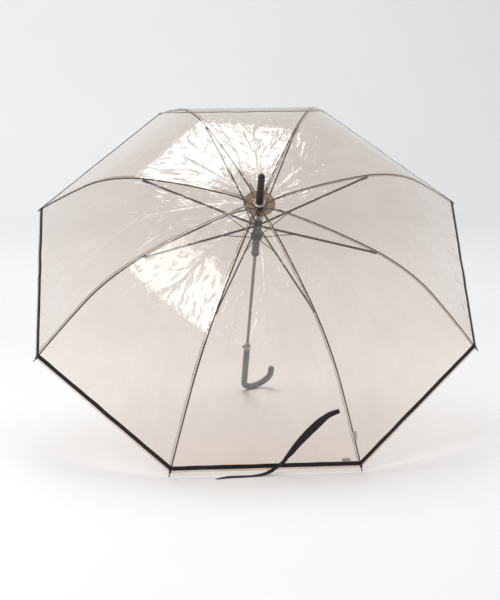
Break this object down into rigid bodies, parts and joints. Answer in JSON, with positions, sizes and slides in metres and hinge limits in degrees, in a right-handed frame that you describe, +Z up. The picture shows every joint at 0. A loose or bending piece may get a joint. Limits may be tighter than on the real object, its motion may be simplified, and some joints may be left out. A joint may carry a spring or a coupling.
{
  "type": "umbrella",
  "caption": "Open dome umbrella with a clear smoky film canopy, black ribs and hem tape, sliding runner with sprung struts, grey crook handle and push button.",
  "frame": {"origin": "middle of the bounding box in X and Y, on the floor", "axes": "+Z is up from the floor the open umbrella rests on, +X runs along the front hem, -Y is the side the ferrule leans towards"},
  "size_m": [0.9384, 0.726, 0.6995],
  "materials": {
    "shaft_steel": "satin",
    "black_plastic": "gloss",
    "clear_plastic": "gloss",
    "runner_plastic": "satin",
    "wire_steel": "satin",
    "brown_film": "gloss",
    "grip_plastic": "satin",
    "cap_plastic": "satin",
    "button_plastic": "satin",
    "strap_fabric": "matte",
    "label_film": "gloss",
    "rib_black": "satin",
    "clear_film": "gloss",
    "stretcher_steel": "satin"
  },
  "bodies": {
    "frame": {"shaft": "shaft_steel", "ferrule": "black_plastic", "ferrule_washer": "clear_plastic", "top_notch": "runner_plastic", "notch_wire": "wire_steel", "rosette": "brown_film", "handle": "grip_plastic", "handle_cap": "cap_plastic", "button_spring": "wire_steel"},
    "button": {"push_button": "button_plastic"},
    "runner": {"runner_hub": "runner_plastic", "runner_wire": "wire_steel", "opening_spring": "wire_steel"},
    "collar": {"runner_collar": "runner_plastic"},
    "rib_1_body": {"rib_1": "rib_black", "canopy_1": "clear_film"},
    "stretcher_1_body": {"stretcher_1": "stretcher_steel"},
    "strut_1_body": {"strut_1": "stretcher_steel"},
    "rib_2_body": {"rib_2": "rib_black", "canopy_2": "clear_film"},
    "stretcher_2_body": {"stretcher_2": "stretcher_steel"},
    "strut_2_body": {"strut_2": "stretcher_steel"},
    "rib_3_body": {"rib_3": "rib_black", "canopy_3": "clear_film"},
    "stretcher_3_body": {"stretcher_3": "stretcher_steel"},
    "strut_3_body": {"strut_3": "stretcher_steel"},
    "rib_4_body": {"rib_4": "rib_black", "canopy_4": "clear_film"},
    "stretcher_4_body": {"stretcher_4": "stretcher_steel"},
    "strut_4_body": {"strut_4": "stretcher_steel"},
    "rib_5_body": {"rib_5": "rib_black", "canopy_5": "clear_film"},
    "stretcher_5_body": {"stretcher_5": "stretcher_steel"},
    "strut_5_body": {"strut_5": "stretcher_steel"},
    "rib_6_body": {"rib_6": "rib_black", "canopy_6": "clear_film"},
    "stretcher_6_body": {"stretcher_6": "stretcher_steel"},
    "strut_6_body": {"strut_6": "stretcher_steel"},
    "rib_7_body": {"rib_7": "rib_black", "canopy_7": "clear_film", "strap": "strap_fabric", "care_label": "label_film", "small_label": "label_film"},
    "stretcher_7_body": {"stretcher_7": "stretcher_steel"},
    "strut_7_body": {"strut_7": "stretcher_steel"},
    "rib_8_body": {"rib_8": "rib_black", "canopy_8": "clear_film"},
    "stretcher_8_body": {"stretcher_8": "stretcher_steel"},
    "strut_8_body": {"strut_8": "stretcher_steel"}
  },
  "joints": [
    {"name": "rib_1_hinge", "type": "hinge", "parent": "frame", "child": "rib_1_body", "pos_m": [0.00693, -0.19154, 0.52218], "axis": [-0.3827, 0.6424, 0.664], "range_deg": [0, 60], "stiffness_Nm_per_rad": 2, "springref_deg": -28.65, "deforming": ["canopy_1"]},
    {"name": "stretcher_1_hinge", "type": "hinge", "parent": "rib_1_body", "child": "stretcher_1_body", "pos_m": [0.23282, -0.10377, 0.56745], "axis": [-0.3827, 0.6424, 0.664], "range_deg": [-120, 0]},
    {"name": "strut_1_hinge", "type": "hinge", "parent": "stretcher_1_body", "child": "strut_1_body", "pos_m": [0.06782, -0.13217, 0.49983], "axis": [-0.3827, 0.6424, 0.664], "range_deg": [0, 23.27]},
    {"name": "rib_2_hinge", "type": "hinge", "parent": "frame", "child": "rib_2_body", "pos_m": [0.00287, -0.18872, 0.5251], "axis": [-0.9239, 0.2661, 0.275], "range_deg": [0, 60], "deforming": ["canopy_2"]},
    {"name": "stretcher_2_hinge", "type": "hinge", "parent": "rib_2_body", "child": "stretcher_2_body", "pos_m": [0.09644, -0.00894, 0.66546], "axis": [-0.9239, 0.2661, 0.275], "range_deg": [-120, 0]},
    {"name": "strut_2_hinge", "type": "hinge", "parent": "stretcher_2_body", "child": "strut_2_body", "pos_m": [0.02809, -0.10455, 0.52838], "axis": [-0.9239, 0.2661, 0.275], "range_deg": [0, 23.27]},
    {"name": "rib_3_hinge", "type": "hinge", "parent": "frame", "child": "rib_3_body", "pos_m": [-0.00287, -0.18872, 0.5251], "axis": [-0.9239, -0.2661, -0.275], "range_deg": [0, 60], "deforming": ["canopy_3"]},
    {"name": "stretcher_3_hinge", "type": "hinge", "parent": "rib_3_body", "child": "stretcher_3_body", "pos_m": [-0.09644, -0.00894, 0.66546], "axis": [-0.9239, -0.2661, -0.275], "range_deg": [-120, 0]},
    {"name": "strut_3_hinge", "type": "hinge", "parent": "stretcher_3_body", "child": "strut_3_body", "pos_m": [-0.02809, -0.10455, 0.52838], "axis": [-0.9239, -0.2661, -0.275], "range_deg": [0, 23.27]},
    {"name": "rib_4_hinge", "type": "hinge", "parent": "frame", "child": "rib_4_body", "pos_m": [-0.00693, -0.19154, 0.52218], "axis": [-0.3827, -0.6424, -0.664], "range_deg": [0, 60], "deforming": ["canopy_4"]},
    {"name": "stretcher_4_hinge", "type": "hinge", "parent": "rib_4_body", "child": "stretcher_4_body", "pos_m": [-0.23282, -0.10377, 0.56745], "axis": [-0.3827, -0.6424, -0.664], "range_deg": [-120, 0]},
    {"name": "strut_4_hinge", "type": "hinge", "parent": "stretcher_4_body", "child": "strut_4_body", "pos_m": [-0.06782, -0.13217, 0.49983], "axis": [-0.3827, -0.6424, -0.664], "range_deg": [0, 23.27]},
    {"name": "rib_5_hinge", "type": "hinge", "parent": "frame", "child": "rib_5_body", "pos_m": [-0.00693, -0.19553, 0.51806], "axis": [0.3827, -0.6424, -0.664], "range_deg": [0, 60], "deforming": ["canopy_5"]},
    {"name": "stretcher_5_hinge", "type": "hinge", "parent": "rib_5_body", "child": "stretcher_5_body", "pos_m": [-0.23282, -0.23789, 0.42884], "axis": [0.3827, -0.6424, -0.664], "range_deg": [-120, 0]},
    {"name": "strut_5_hinge", "type": "hinge", "parent": "stretcher_5_body", "child": "strut_5_body", "pos_m": [-0.06782, -0.17124, 0.45945], "axis": [0.3827, -0.6424, -0.664], "range_deg": [0, 23.27]},
    {"name": "rib_6_hinge", "type": "hinge", "parent": "frame", "child": "rib_6_body", "pos_m": [-0.00287, -0.19836, 0.51514], "axis": [0.9239, -0.2661, -0.275], "range_deg": [0, 60], "deforming": ["canopy_6"]},
    {"name": "stretcher_6_hinge", "type": "hinge", "parent": "rib_6_body", "child": "stretcher_6_body", "pos_m": [-0.09644, -0.33272, 0.33083], "axis": [0.9239, -0.2661, -0.275], "range_deg": [-120, 0]},
    {"name": "strut_6_hinge", "type": "hinge", "parent": "stretcher_6_body", "child": "strut_6_body", "pos_m": [-0.02809, -0.19886, 0.4309], "axis": [0.9239, -0.2661, -0.275], "range_deg": [0, 23.27]},
    {"name": "rib_7_hinge", "type": "hinge", "parent": "frame", "child": "rib_7_body", "pos_m": [0.00287, -0.19836, 0.51514], "axis": [0.9239, 0.2661, 0.275], "range_deg": [0, 60], "deforming": ["canopy_7", "strap", "care_label", "small_label"]},
    {"name": "stretcher_7_hinge", "type": "hinge", "parent": "rib_7_body", "child": "stretcher_7_body", "pos_m": [0.09644, -0.33272, 0.33083], "axis": [0.9239, 0.2661, 0.275], "range_deg": [-120, 0]},
    {"name": "strut_7_hinge", "type": "hinge", "parent": "stretcher_7_body", "child": "strut_7_body", "pos_m": [0.02809, -0.19886, 0.4309], "axis": [0.9239, 0.2661, 0.275], "range_deg": [0, 23.27]},
    {"name": "rib_8_hinge", "type": "hinge", "parent": "frame", "child": "rib_8_body", "pos_m": [0.00693, -0.19553, 0.51806], "axis": [0.3827, 0.6424, 0.664], "range_deg": [0, 60], "deforming": ["canopy_8"]},
    {"name": "stretcher_8_hinge", "type": "hinge", "parent": "rib_8_body", "child": "stretcher_8_body", "pos_m": [0.23282, -0.23789, 0.42884], "axis": [0.3827, 0.6424, 0.664], "range_deg": [-120, 0]},
    {"name": "strut_8_hinge", "type": "hinge", "parent": "stretcher_8_body", "child": "strut_8_body", "pos_m": [0.06782, -0.17124, 0.45945], "axis": [0.3827, 0.6424, 0.664], "range_deg": [0, 23.27]},
    {"name": "runner_hinge", "type": "hinge", "parent": "stretcher_1_body", "child": "runner", "pos_m": [0.00693, -0.14612, 0.47823], "axis": [-0.3827, 0.6424, 0.664], "range_deg": [0, 60]},
    {"name": "collar_slide", "type": "slide", "parent": "runner", "child": "collar", "axis": [0, -0.7187, 0.6954], "range_m": [0, 0.02552], "deforming": ["opening_spring"]},
    {"name": "button_press", "type": "slide", "parent": "frame", "child": "button", "axis": [1, 0, 0], "range_m": [0, 0.0018], "stiffness_N_per_m": 300, "springref_m": -0.003, "deforming": ["button_spring"]}
  ],
  "couplings": [
    {"joint": "stretcher_1_hinge", "follows": "rib_1_hinge", "ratio": -2},
    {"joint": "strut_1_hinge", "follows": "rib_1_hinge", "ratio": 0.38769},
    {"joint": "rib_2_hinge", "follows": "rib_1_hinge", "ratio": 1},
    {"joint": "stretcher_2_hinge", "follows": "rib_1_hinge", "ratio": -2},
    {"joint": "strut_2_hinge", "follows": "rib_1_hinge", "ratio": 0.38769},
    {"joint": "rib_3_hinge", "follows": "rib_1_hinge", "ratio": 1},
    {"joint": "stretcher_3_hinge", "follows": "rib_1_hinge", "ratio": -2},
    {"joint": "strut_3_hinge", "follows": "rib_1_hinge", "ratio": 0.38769},
    {"joint": "rib_4_hinge", "follows": "rib_1_hinge", "ratio": 1},
    {"joint": "stretcher_4_hinge", "follows": "rib_1_hinge", "ratio": -2},
    {"joint": "strut_4_hinge", "follows": "rib_1_hinge", "ratio": 0.38769},
    {"joint": "rib_5_hinge", "follows": "rib_1_hinge", "ratio": 1},
    {"joint": "stretcher_5_hinge", "follows": "rib_1_hinge", "ratio": -2},
    {"joint": "strut_5_hinge", "follows": "rib_1_hinge", "ratio": 0.38769},
    {"joint": "rib_6_hinge", "follows": "rib_1_hinge", "ratio": 1},
    {"joint": "stretcher_6_hinge", "follows": "rib_1_hinge", "ratio": -2},
    {"joint": "strut_6_hinge", "follows": "rib_1_hinge", "ratio": 0.38769},
    {"joint": "rib_7_hinge", "follows": "rib_1_hinge", "ratio": 1},
    {"joint": "stretcher_7_hinge", "follows": "rib_1_hinge", "ratio": -2},
    {"joint": "strut_7_hinge", "follows": "rib_1_hinge", "ratio": 0.38769},
    {"joint": "rib_8_hinge", "follows": "rib_1_hinge", "ratio": 1},
    {"joint": "stretcher_8_hinge", "follows": "rib_1_hinge", "ratio": -2},
    {"joint": "strut_8_hinge", "follows": "rib_1_hinge", "ratio": 0.38769},
    {"joint": "runner_hinge", "follows": "rib_1_hinge", "ratio": 1},
    {"joint": "collar_slide", "follows": "rib_1_hinge", "m_per_rad": 0.024363}
  ]
}
